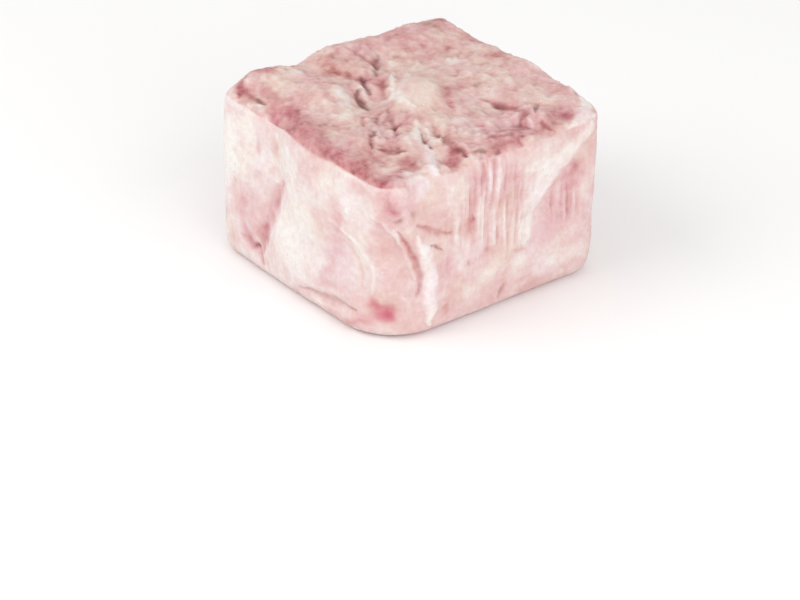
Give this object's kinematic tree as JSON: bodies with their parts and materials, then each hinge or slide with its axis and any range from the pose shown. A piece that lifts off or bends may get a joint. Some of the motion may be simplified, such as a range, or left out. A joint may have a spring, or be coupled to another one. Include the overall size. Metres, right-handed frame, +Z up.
{
  "type": "turkish delight cube",
  "caption": "Soft hand-cut block of rose Turkish delight with a crumpled top, blunt corners and a damp coat of icing powder, resting on its flat base.",
  "frame": {"origin": "middle of the block's plan, on its flat base", "axes": "+Z up through the height; the two most creased sides face -Y and +X and meet at the blunt front corner"},
  "size_m": [0.0306, 0.0312, 0.0202],
  "materials": {
    "dusted_rose_gel": "matte"
  },
  "bodies": {
    "root": {"delight_cube": "dusted_rose_gel"}
  },
  "joints": []
}
